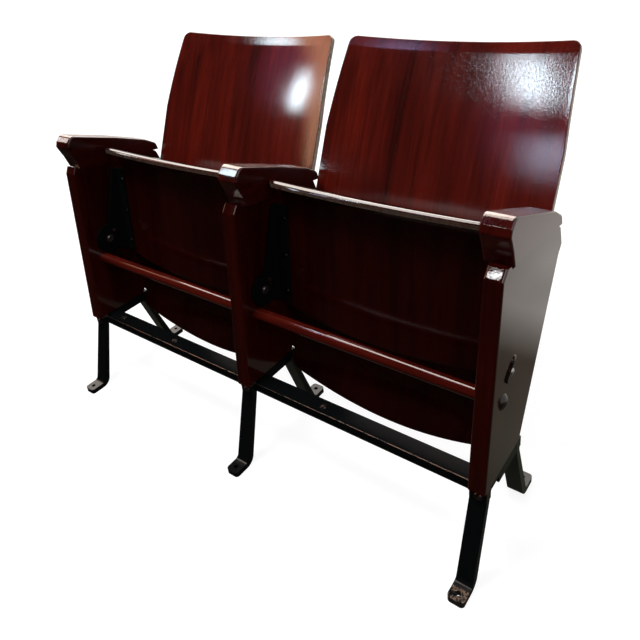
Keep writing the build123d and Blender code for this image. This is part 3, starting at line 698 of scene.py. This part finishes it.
def steel_finish(name, exposure, shine, colour=None):
    """Paint on steel, as glossy as shine, worn where the exposure lets it."""
    colours = bpy.context.scene.seat_finish
    material, tree, shader, place = finish(name)
    worn = add_group(
        tree,
        "Worn Paint",
        Vector=place,
        Exposure=exposure(tree, tree.split(place)),
        Paint=colour or tuple(colours.enamel),
        Metal=tuple(colours.worn_steel),
    )
    tree.join(worn["Color"], shader["Base Color"])
    tree.join(worn["Roughness"], shader["Roughness"])
    tree.join(worn["Mask"], shader["Metallic"])
    shader["Specular IOR Level"].default_value = shine
    shader["Coat Weight"].default_value = shine * 0.5
    shader["Coat Roughness"].default_value = 0.12
    add_bump(tree, shader, worn["Height"], 0.35, 0.0005)
    return material


def foot_exposure(tree, apart):
    """Bare metal near the toes and, more faintly, along the corners of the bar.

    It is strongest at the right, front foot, where people walk past.
    """
    toe = tree.remap(tree.math("ABSOLUTE", apart["Y"]), TOE_START, TOE_END)
    low = tree.remap(apart["Z"], TOE_TOP, TOE_BOTTOM)
    ridge = tree.remap(tree.geometry("Pointiness"), 0.52, 0.58, 0, 0.45)
    worn = tree.math("MAXIMUM", tree.math("MULTIPLY", toe, low), ridge)
    walked = tree.remap(apart["X"], 0.25, 0.42, 0.46, 0.88)
    ahead = tree.remap(apart["Y"], 0.05, -0.05, 0.50, 1.0)
    return tree.math("MULTIPLY", worn, tree.math("MULTIPLY", walked, ahead))


def edge_wear_and_highlight(tree, apart):
    """Bare metal on worn corners, and a bare strip on the rail's upper front corner as
    a painted highlight line.
    """
    # Painted highlight: a thin strip of bare metal along the rail's upper front
    # corner.
    front = tree.remap(apart["Y"], *RAIL_HIGHLIGHT_FRONT)
    high = tree.remap(apart["Z"], *RAIL_HIGHLIGHT_TOP)
    ridge = tree.remap(tree.geometry("Pointiness"), 0.53, 0.60, 0, 0.5)
    worn = tree.math("MULTIPLY", tree.math("MULTIPLY", front, high), 0.9)
    return tree.math("MAXIMUM", worn, ridge)


def bare_metal_finish(name, colour, roughness):
    """Turned or blackened metal without paint."""
    material, tree, shader, place = finish(name)
    cloud = tree.noise(place, 260, 4, 0.6)
    tone = tree.mix(tree.remap(cloud, 0.35, 0.7), colour, scaled(colour, 0.6))
    rough = tree.remap(cloud, 0.3, 0.7, roughness, roughness + 0.15)
    tree.join(tone, shader["Base Color"])
    tree.join(rough, shader["Roughness"])
    shader["Metallic"].default_value = 1.0
    add_bump(tree, shader, cloud, 0.15, 0.0003)
    return material


# ------------------------------------------------------------ object helpers
def dress(material, *names):
    """Give CAD nodes a material."""
    for name in names:
        data = NODES[name].data
        data.materials.clear()
        data.materials.append(material)


def nodes_with(text):
    """The CAD nodes whose names hold a text."""
    found = [name for name in NODES if text in name]
    if not found:
        raise RuntimeError("no piece has " + text + " in its name")
    return found


def new_piece(name, sheet, material):
    """Turn a bmesh into an object of the scene."""
    data = bpy.data.meshes.new(name)
    sheet.to_mesh(data)
    sheet.free()
    data.materials.append(material)
    piece = bpy.data.objects.new(name, data)
    bpy.context.scene.collection.objects.link(piece)
    return piece


def board_object(name, blank, material, body, node):
    """Turn a pressed blank into a finished piece that stands for its CAD node."""
    bmesh.ops.recalc_face_normals(blank, faces=blank.faces)
    piece = new_piece(name, blank, material)
    piece.data.shade_smooth()
    weigh = piece.modifiers.new("Weighted Normal", "WEIGHTED_NORMAL")
    weigh.keep_sharp = True
    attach(piece, body)
    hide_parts(node)
    return piece


def lean_point(x, u, v):
    """A point u behind and v up the leaning front edge of the standards."""
    return Vector(
        (
            x,
            FRONT_Y + u * cos(LEAN) + v * sin(LEAN),
            BASE_Z - u * sin(LEAN) + v * cos(LEAN),
        )
    )


def cut_blank(blank, place, normal):
    """Cut all of a blank along one plane."""
    bmesh.ops.bisect_plane(
        blank,
        geom=blank.verts[:] + blank.edges[:] + blank.faces[:],
        plane_co=place,
        plane_no=normal,
        dist=MERGE,
    )


def slice_blank(blank, axis, step):
    """Cut a blank into even slices across an axis so that it can bend."""
    places = [vertex.co[axis] for vertex in blank.verts]
    start, end = min(places), max(places)
    count = int((end - start) / step)
    normal = Vector([1 if i == axis else 0 for i in range(3)])
    for number in range(1, count):
        cut_blank(blank, normal * (start + (end - start) * number / count), normal)


def make_blank(outline, radii, sizes, step, press, cuts=()):
    """A ply board in local X (across), Y (along) and Z (through), pressed to shape.

    Corners are rounded, edges eased, and the blank is cut both ways to bend,
    with further cuts across where asked.
    The edge attribute marks the edge faces, depth runs through the plies.
    """
    blank = bmesh.new()
    corners = [blank.verts.new((x, y, 0)) for x, y in outline]
    blank.faces.new(corners)
    for corner, radius in zip(corners, radii):
        if radius > 0:
            bmesh.ops.bevel(
                blank,
                geom=[corner],
                offset=radius * CORNER_REACH,
                affect="VERTICES",
                segments=6,
                profile=0.5,
                material=-1,
            )
    result = bmesh.ops.extrude_face_region(blank, geom=blank.faces[:])
    moved = [v for v in result["geom"] if isinstance(v, bmesh.types.BMVert)]
    bmesh.ops.translate(blank, verts=moved, vec=(0, 0, sizes.thickness))
    bmesh.ops.recalc_face_normals(blank, faces=blank.faces)
    rims = [
        e
        for e in blank.edges
        if abs(e.verts[0].co.z - e.verts[1].co.z) < MERGE and e.is_manifold
    ]
    bmesh.ops.bevel(
        blank,
        geom=rims,
        offset=sizes.arris,
        affect="EDGES",
        segments=3,
        profile=0.5,
        material=-1,
        clamp_overlap=True,
    )
    for cut in cuts:
        cut_blank(blank, (0, cut, 0), (0, 1, 0))
    slice_blank(blank, 0, step)
    slice_blank(blank, 1, step)
    edge = blank.verts.layers.float.new("edge")
    depth = blank.verts.layers.float.new("depth")
    lowest = sizes.arris * EDGE_SHARE
    highest = sizes.thickness - EDGE_GAP
    for vertex in blank.verts:
        vertex[depth] = vertex.co.z / sizes.thickness
        vertex[edge] = 1.0 if lowest < vertex.co.z < highest else 0.0
        vertex.co = press(vertex.co)
    return blank


# --------------------------------------------------------------------- stage
def rounded_mask(tree, reaches, power, soft):
    """A rectangle with rounded corners and a soft outline, from -1 to 1 each way."""
    shares = [
        tree.math("POWER", tree.math("ABSOLUTE", reach), power) for reach in reaches
    ]
    return tree.remap(tree.math("ADD", *shares), 1.0 + soft, 1.0 - soft)


def make_window_mask(tree, aim, window):
    """A mask of the directions that fall inside a window of the studio."""
    place = Vector(window.at).normalized()
    side = place.cross(Vector((0, 0, 1))).normalized()
    rise = side.cross(place).normalized()
    axes = (side / window.wide, rise / window.tall)
    mask = rounded_mask(tree, [tree.dot(aim, axis) for axis in axes], 3.0, window.soft)
    front = tree.math("GREATER_THAN", tree.dot(aim, place), 0.0)
    return tree.math("MULTIPLY", mask, front)


def make_world(scene, fill):
    """Plain soft light, seen white; gloss mirrors a room lit from behind."""
    world = bpy.data.worlds.new("Studio")
    world.use_nodes = True
    scene.world = world
    tree = Tree(world.node_tree)
    sky = tree.nodes["Background"].inputs
    turned = tree.add("ShaderNodeVectorMath", operation="SCALE")
    tree.join(tree.geometry("Incoming"), turned.inputs[0])
    turned.inputs["Scale"].default_value = -1.0
    aim = turned.outputs[0]
    apart = tree.split(aim)
    back = tree.math("MULTIPLY_ADD", apart["X"], 0.35, apart["Y"])
    room = tree.mix(tree.remap(back, -0.20, 0.25), DARK_ROOM, WHITE)
    for window in WINDOWS:
        room = tree.mix(make_window_mask(tree, aim, window), room, window.colour)
    mirror = tree.mirror_rays()
    height = tree.remap(apart["Z"], -0.2, 0.8, 0.3, 1.0)
    soft = tree.math("MULTIPLY", height, fill)
    plain = tree.math("MAXIMUM", tree.camera_rays(), soft)
    tree.join(tree.mix(mirror, WHITE, room), sky["Color"])
    tree.join(tree.math("MAXIMUM", plain, mirror), sky["Strength"])


def make_floor(sizes):
    """A pale floor, seen white; gloss mirrors it dark ahead and pale behind."""
    material, tree, shader, place = finish("Pale floor")
    speck = tree.remap(tree.noise(place, 3, 2, 0.5), 0.3, 0.7, 0, 0.04)
    tone = tree.mix(speck, tuple(sizes.floor_colour), WHITE)
    tree.join(tone, shader["Base Color"])
    shader["Roughness"].default_value = 0.9
    shader["Specular IOR Level"].default_value = 0.1
    shader["Emission Color"].default_value = WHITE
    away = tree.add("ShaderNodeVectorMath", operation="LENGTH")
    tree.join(place, away.inputs[0])
    far = away.outputs["Value"]
    lift = tree.remap(far, FLOOR_FADE_START, FLOOR_FADE_END, sizes.whiten, 1.0)
    lift = tree.math("MULTIPLY", tree.camera_rays(), lift)
    tree.join(lift, shader["Emission Strength"])
    # For glossy rays the floor glows: a painted reflection, dark ahead of and under
    # the seats and pale behind.
    mirrored = tree.ramp(
        tree.remap(tree.split(place)["Y"], -0.5, 1.0), MIRRORED_FLOOR
    )
    cloud = tree.noise(tree.stretch(place, (5, 1.5, 1)), 2.2, 4, 0.6)
    cloud = tree.remap(cloud, 0.3, 0.7, 0.80, 1.08)
    glow = tree.glow(mirrored, cloud)
    tree.surface(tree.mirror_rays(), tree.nodes["Principled BSDF"].outputs[0], glow)

    sheet = bmesh.new()
    bmesh.ops.create_grid(sheet, x_segments=1, y_segments=1, size=FLOOR_HALF)
    floor = new_piece("studio_floor", sheet, material)


def mirror(piece, pixel):
    """Where a pixel's ray meets a piece, and the way in which gloss sends it on."""
    x, y = pixel
    right, up = x / PHOTO_SIZE - 0.5, 0.5 - y / PHOTO_SIZE + CAMERA_SHIFT
    aim = Vector((right, up, -CAMERA_LENS / CAMERA_SENSOR)).normalized()
    aim.rotate(Euler([radians(turn) for turn in CAMERA_TURN]))
    graph = bpy.context.evaluated_depsgraph_get()
    hit, place, _, number = piece.ray_cast(Vector(CAMERA_PLACE), aim, depsgraph=graph)
    if not hit:
        raise RuntimeError(f"{piece.name} isn't at pixel {x}, {y}")
    data = piece.evaluated_get(graph).data
    face = data.polygons[number]
    shares = poly_3d_calc([data.vertices[v].co for v in face.vertices], place)
    normal = Vector()
    for share, loop in zip(shares, face.loop_indices):
        normal += share * data.corner_normals[loop].vector
    return place, aim.reflect(normal.normalized())


def trace_spot(spot):
    """Middle, half width and half height of the pane that is mirrored as a spot."""
    piece = bpy.data.objects[spot.piece]
    place, straight = mirror(piece, spot.at)
    middle = place + straight * spot.away

    def pane_point(x, y):
        """The point of the pane that is mirrored x, y pixels from the middle."""
        place, aim = mirror(piece, (spot.at[0] + x, spot.at[1] + y))
        return place + aim * (middle - place).dot(straight) / aim.dot(straight)

    wide, tall = spot.half
    x, y = Vector((spot.lean, -1)).normalized() * tall
    right, left = pane_point(wide, 0), pane_point(-wide, 0)
    top, bottom = pane_point(x, y), pane_point(-x, -y)
    centre = (right + left + top + bottom) / 4
    across, up = (right - left) / 2, (top - bottom) / 2
    return centre, across * spot.grow[0], up * spot.grow[1]


def place_nose_pane():
    """The same for the pane close to the middle armrest's nose."""
    low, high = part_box("armrest_middle")
    middle = Vector((-NOSE_LEFT, low.y - NOSE_AWAY, high.z + NOSE_AWAY))
    slope = Vector((0, 1, 1)).normalized()
    return middle, Vector((NOSE_WIDE, 0, 0)), slope * NOSE_TALL


def make_pane(name, sides, colour, soft, behind):
    """A soft-edged pane of light that only gloss mirrors."""
    material, tree, _, _ = finish(name)
    apart = tree.split(tree.attribute("spread", "Vector"))
    mask = rounded_mask(tree, (apart["X"], apart["Y"]), 2.4, soft)
    if behind:
        aim = tree.split(tree.geometry("Incoming"))
        mask = tree.math("MULTIPLY", mask, tree.remap(aim["Y"], 0.18, 0.28))
    peak = max(colour)
    glow = tree.glow(scaled(colour, 1 / peak), peak)
    tree.surface(mask, tree.add("ShaderNodeBsdfTransparent").outputs[0], glow)

    middle, across, up = sides
    sheet = bmesh.new()
    spread = sheet.verts.layers.float_vector.new("spread")
    corners = []
    for x, y in ((-1, -1), (1, -1), (1, 1), (-1, 1)):
        x, y = x * PANE_MARGIN, y * PANE_MARGIN
        corner = sheet.verts.new(middle + across * x + up * y)
        corner[spread] = (x, y, 0)
        corners.append(corner)
    sheet.faces.new(corners)
    pane = new_piece(name, sheet, material)
    pane.visible_camera = False
    pane.visible_diffuse = False
    pane.visible_shadow = False


def make_lamp(scene, lamp):
    """A rectangular lamp turned to its aim."""
    data = bpy.data.lights.new(lamp.name, "AREA")
    data.shape = "RECTANGLE"
    data.size = lamp.wide
    data.size_y = lamp.tall
    data.energy = lamp.watts
    holder = bpy.data.objects.new(lamp.name, data)
    holder.location = lamp.place
    away = Vector(lamp.place) - Vector(lamp.aim)
    holder.rotation_euler = away.to_track_quat("Z", "Y").to_euler()
    holder.visible_glossy = lamp.mirrored
    scene.collection.objects.link(holder)


def make_camera(scene):
    """The camera that was fitted to the photo."""
    data = bpy.data.cameras.new("Camera")
    data.lens = CAMERA_LENS
    data.sensor_width = CAMERA_SENSOR
    data.sensor_fit = "HORIZONTAL"
    data.shift_y = CAMERA_SHIFT
    data.clip_start = 0.01
    camera = bpy.data.objects.new("Camera", data)
    camera.location = CAMERA_PLACE
    camera.rotation_euler = [radians(turn) for turn in CAMERA_TURN]
    scene.collection.objects.link(camera)
    scene.camera = camera


# ---------------------------------------------------------------- operators
class SEATS_OT_materials(bpy.types.Operator):
    """Builds the shared grain and wear patterns and dresses the CAD pieces"""

    bl_idname = "seats.materials"
    bl_label = "Dress The Pieces"

    def execute(self, context):
        build_grain_group()
        build_wear_group()

        side = wood_finish("Standard varnish", (LEAN, 0, 0), 0.30, 0.35)
        rest = armrest_finish("Armrest varnish", (pi / 2, 0, 0), 0.45, 0.4)
        bar = wood_finish("Bar varnish", (0, pi / 2, 0), 0.65, 1.0)
        plain = wood_finish("Dowel wood", (LEAN, 0, 0), 2.5)
        dress(side, *nodes_with("standard_"))
        dress(rest, "armrest_left", "armrest_middle", "armrest_right")
        dress(bar, *nodes_with("cross_bar_"))
        dress(plain, "armrest_dowels")

        leg = steel_finish("Leg enamel", foot_exposure, 0.10)
        steel = steel_finish("Frame enamel", edge_wear_and_highlight, 0.03)
        dark = steel_finish("Hardware enamel", edge_wear_and_highlight, 0.3, BROWN_ENAMEL)
        dress(leg, *nodes_with("leg_front"), *nodes_with("leg_rear"))
        dress(steel, "front_rail", *nodes_with("seat_arm"))
        dress(steel, *nodes_with("base_bracket_"), *nodes_with("back_brackets_"))
        dress(dark, "bar_bolts", "pivot_plates", "leg_bolts", "rail_bolts")
        dress(dark, "rail_rivets")

        pin = bare_metal_finish("Turned steel", TURNED_STEEL, 0.25)
        bronze = bare_metal_finish("Bronze", BRONZE, 0.3)
        screw = bare_metal_finish("Blackened screws", BLACKENED, 0.35)
        dress(pin, "bar_stud", "stop_studs", "thrust_washers", "retaining_rings")
        dress(pin, *nodes_with("hinge_pin_"))
        dress(bronze, "pivot_bushes")
        dress(screw, *nodes_with("screws"))
        return {"FINISHED"}


class SEATS_OT_backrests(bpy.types.Operator):
    """Presses the two dished backrests from flat ply blanks"""

    bl_idname = "seats.backrests"
    bl_label = "Backrests"

    def execute(self, context):
        sizes = context.scene.seat_boards
        run_back = Vector((0, cos(BACK_RUN), -sin(BACK_RUN)))
        run_up = Vector((0, sin(BACK_RUN), cos(BACK_RUN)))
        top = BACK_STRAIGHT + BACK_ARC_RADIUS * BACK_ARC
        flare = BACK_BEHIND * sin(LEAN) / cos(BACK_RUN)
        sag = BACK_DISH_RADIUS - sqrt(BACK_DISH_RADIUS**2 - BACK_HALF**2)
        # The backrests carry painted shade near the floor, under the seats.
        material = ply_finish("Backrest varnish", (BACK_RUN, 0, 0), 0.95, painted_shade=0.15)
        right_side = [
            (BACK_FOOT_HALF, -BACK_SIDE_DROP, BACK_CORNER),
            (BACK_FOOT_HALF, flare + BACK_FLARE_START, 0),
            (BACK_HALF, flare + BACK_FLARE_END, 0),
            (BACK_HALF, BACK_STRAIGHT, 0),
            (BACK_TOP_HALF, top, BACK_CORNER),
        ]
        left_side = [(-x, y, radius) for x, y, radius in reversed(right_side)]
        # The outline starts at the lower left corner.
        rounded = left_side[-1:] + right_side + left_side[:-1]
        outline = [(x, y) for x, y, radius in rounded]
        radii = [radius for x, y, radius in rounded]
        for name, x in BAYS.items():
            foot = lean_point(x, BACK_BEHIND, 0) + run_back * BACK_GAP

            def press(point, foot=foot):
                across, along, through = point
                eased = max(along - top + CREASE_BAND, 0) / CREASE_BAND
                through += (1 - through / sizes.thickness) * CREASE_DEPTH * eased
                if along > BACK_STRAIGHT:
                    turn = (along - BACK_STRAIGHT) / BACK_ARC_RADIUS
                    back = BACK_ARC_RADIUS * (1 - cos(turn)) + through * cos(turn)
                    up = BACK_STRAIGHT + BACK_ARC_RADIUS * sin(turn)
                    up -= through * sin(turn)
                else:
                    back = through
                    up = along
                if along < BACK_ARCH_REACH:
                    share = BACK_ARCH_REACH - along
                    share /= BACK_ARCH_REACH + BACK_SIDE_DROP
                    bow = BACK_DROP - BACK_SIDE_DROP
                    bow *= 1 - (across / BACK_FOOT_HALF) ** 2
                    up -= share * max(bow, 0)
                ring = BACK_DISH_RADIUS + back
                back = sag - BACK_DISH_RADIUS + sqrt(ring**2 - across**2)
                return foot + Vector((across, 0, 0)) + run_back * back + run_up * up

            cuts = [top - CREASE_BAND + shift for shift in (0.002, 0, -0.002)]
            blank = make_blank(outline, radii, sizes, sizes.step, press, cuts)
            panel = board_object(
                "backrest_panel_" + name, blank, material, "frame", "backrest_" + name
            )
        return {"FINISHED"}


class SEATS_OT_seat_boards(bpy.types.Operator):
    """Presses the two seat boards, dished, with their front edge rolled over"""

    bl_idname = "seats.seat_boards"
    bl_label = "Seat Boards"

    def execute(self, context):
        sizes = context.scene.seat_boards
        face = SEAT_UNDER - SEAT_DISH
        turn_start = SEAT_CREST - SEAT_ROLL - sizes.thickness - SEAT_LOW
        middle = SEAT_ROLL + sizes.thickness / 2
        turn_end = turn_start + middle * pi / 2
        total = turn_end + SEAT_LIP
        dish_radius = (SEAT_HALF**2 + SEAT_DISH**2) / (2 * SEAT_DISH)
        axis_u = face + dish_radius
        # The seat boards take the backrests' wood at a fifth of its brightness:
        # painted shade, as their folded faces turn away from the light.
        material = ply_finish("Seat varnish", (LEAN, 0, 0), 0.19, bare=0.15)
        outline = [
            (-SEAT_HALF, 0),
            (SEAT_HALF, 0),
            (SEAT_HALF, total),
            (-SEAT_HALF, total),
        ]
        radii = [SEAT_CORNER] * len(outline)
        for name, x in BAYS.items():

            def press(point, x=x):
                across, along, through = point
                near_end = max(along - total + SEAT_NOSE_BAND, 0) / SEAT_NOSE_BAND
                share = through / sizes.thickness
                rounding = 1 - sqrt(max(1 - near_end**2, 0))
                through -= SEAT_NOSE_CUT * share**2 * rounding
                lift = 0.0
                if along < SEAT_ARCH_REACH:
                    rise = (SEAT_SIDE_LOW - SEAT_LOW) * (across / SEAT_HALF) ** 2
                    lift = rise * (SEAT_ARCH_REACH - along) / SEAT_ARCH_REACH
                if along <= turn_start:
                    u = face + through
                    v = SEAT_LOW + along + lift
                elif along <= turn_end:
                    turn = (along - turn_start) / middle
                    u = face - SEAT_ROLL + (SEAT_ROLL + through) * cos(turn)
                    v = SEAT_LOW + turn_start + (SEAT_ROLL + through) * sin(turn)
                else:
                    u = face - SEAT_ROLL - (along - turn_end)
                    v = SEAT_LOW + turn_start + SEAT_ROLL + through
                ring = axis_u - u
                u = axis_u - sqrt(ring**2 - across**2)
                return lean_point(x + across, u, v)

            cuts = [total - 0.001 * place for place in (2.5, 3.5, 5, 6.5, 8, 10)]
            blank = make_blank(outline, radii, sizes, sizes.step * 0.6, press, cuts)
            panel = board_object(
                "seat_panel_" + name,
                blank,
                material,
                name + "_seat",
                name + "_seat_board",
            )
        return {"FINISHED"}


class SEATS_OT_stage(bpy.types.Operator):
    """Sets the pale floor, the soft lights and the camera"""

    bl_idname = "seats.stage"
    bl_label = "Stage"

    def execute(self, context):
        scene = context.scene
        sizes = scene.seat_stage
        scene.view_settings.view_transform = "Standard"
        make_world(scene, sizes.fill)
        make_floor(sizes)
        make_camera(scene)
        for lamp in LAMPS:
            make_lamp(scene, lamp)
        lights = [
            (trace_spot(spot), spot.colour, spot.soft, spot.behind) for spot in SPOTS
        ]
        # The nose's pane is the last but one.
        lights.insert(-1, (place_nose_pane(), NOSE_COLOUR, NOSE_SOFT, False))
        for number, light in enumerate(lights):
            make_pane("light_pane_" + str(number + 1), *light)
        return {"FINISHED"}


class SEATS_PT_panel(bpy.types.Panel):
    """Lists the steps that dress the seats, and their settings"""

    bl_label = "Auditorium Seats"
    bl_idname = "SEATS_PT_panel"
    bl_space_type = "VIEW_3D"
    bl_region_type = "UI"
    bl_category = "Seats"

    def draw(self, context):
        column = self.layout.column()
        for step in STEPS:
            column.operator(step.bl_idname)
        for settings in SETTINGS:
            group = getattr(context.scene, settings)
            for prop in group.bl_rna.properties:
                if prop.identifier not in ("rna_type", "name"):
                    column.prop(group, prop.identifier)


STEPS = (
    SEATS_OT_materials,
    SEATS_OT_backrests,
    SEATS_OT_seat_boards,
    SEATS_OT_stage,
)
SETTINGS = {
    "seat_finish": FinishSettings,
    "seat_boards": BoardSettings,
    "seat_stage": StageSettings,
}
CLASSES = tuple(SETTINGS.values()) + STEPS + (SEATS_PT_panel,)


def register():
    for cls in CLASSES:
        bpy.utils.register_class(cls)
    for name, group in SETTINGS.items():
        setattr(bpy.types.Scene, name, bpy.props.PointerProperty(type=group))


def unregister():
    for name in SETTINGS:
        delattr(bpy.types.Scene, name)
    for cls in reversed(CLASSES):
        bpy.utils.unregister_class(cls)


def main():
    register()
    bpy.ops.seats.materials()
    bpy.ops.seats.backrests()
    bpy.ops.seats.seat_boards()
    bpy.ops.seats.stage()


if __name__ == "__main__":
    main()
